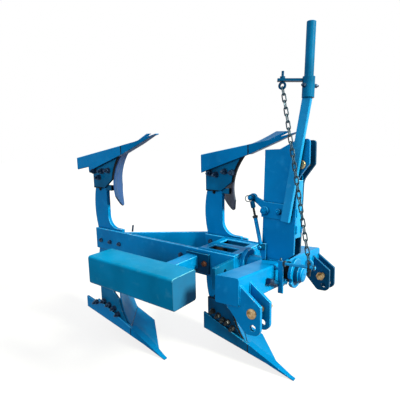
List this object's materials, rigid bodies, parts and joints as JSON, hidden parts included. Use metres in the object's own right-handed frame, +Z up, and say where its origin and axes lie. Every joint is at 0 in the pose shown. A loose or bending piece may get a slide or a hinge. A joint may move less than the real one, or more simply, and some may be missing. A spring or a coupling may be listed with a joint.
{
  "type": "two-furrow reversible moldboard plough",
  "caption": "Mounted reversible plough: a turning frame with mirrored upper and lower bodies on a three-point headstock with mast, hand lever, release chain and ballast box.",
  "frame": {"origin": "middle of the footprint, on the floor under the share points", "axes": "+X is the travel direction, +Y to the left, +Z up; the turnover axis is parallel to X"},
  "size_m": [1.4444, 0.9366, 1.5971],
  "materials": {
    "blue_paint": "gloss",
    "moldboard_finish": "satin",
    "dark_steel": "satin",
    "zinc_pins": "satin"
  },
  "bodies": {
    "headstock": {"cross_beam": "blue_paint", "hitch_lugs_right": "blue_paint", "hitch_lugs_left": "blue_paint", "hitch_pin_right": "zinc_pins", "hitch_pin_left": "zinc_pins", "mast_plate_right": "blue_paint", "mast_plate_left": "blue_paint", "mast_front_plate": "blue_paint", "top_link_pin": "zinc_pins", "shaft_housing": "blue_paint", "latch_plate": "blue_paint", "latch_plunger": "dark_steel", "latch_bar": "blue_paint", "lever_tube": "blue_paint", "lever_socket": "blue_paint", "lever_handle": "blue_paint", "chain_arm": "blue_paint", "crank_plate": "blue_paint", "crank_bolts": "dark_steel", "link_rod": "dark_steel", "rod_lug": "blue_paint", "release_chain": "dark_steel"},
    "plough_frame": {"turnover_shaft": "blue_paint", "rear_flange": "blue_paint", "frame_beam_right": "blue_paint", "frame_beam_left": "blue_paint", "cross_plate_front": "blue_paint", "cross_plate_rear": "blue_paint", "deck_plate_top": "blue_paint", "deck_plate_bottom": "blue_paint", "frame_diagonal": "blue_paint", "stop_arm": "blue_paint", "box_arm": "blue_paint", "ballast_box": "blue_paint", "rear_lower_share": "blue_paint", "rear_upper_share": "blue_paint", "rear_lower_moldboard": "moldboard_finish", "rear_upper_moldboard": "moldboard_finish", "rear_lower_landside": "blue_paint", "rear_upper_landside": "blue_paint", "rear_lower_frog": "blue_paint", "rear_upper_frog": "blue_paint", "rear_lower_shank": "blue_paint", "rear_upper_shank": "blue_paint", "front_lower_share": "blue_paint", "front_upper_share": "blue_paint", "front_lower_moldboard": "moldboard_finish", "front_upper_moldboard": "moldboard_finish", "front_lower_landside": "blue_paint", "front_upper_landside": "blue_paint", "front_lower_frog": "blue_paint", "front_upper_frog": "blue_paint", "front_lower_shank": "blue_paint", "front_upper_shank": "blue_paint"}
  },
  "joints": [
    {"name": "turnover", "type": "hinge", "parent": "headstock", "child": "plough_frame", "pos_m": [0.36136, 0.0082, 0.591], "axis": [-1, 0, 0], "range_deg": [0, 192.6]}
  ]
}
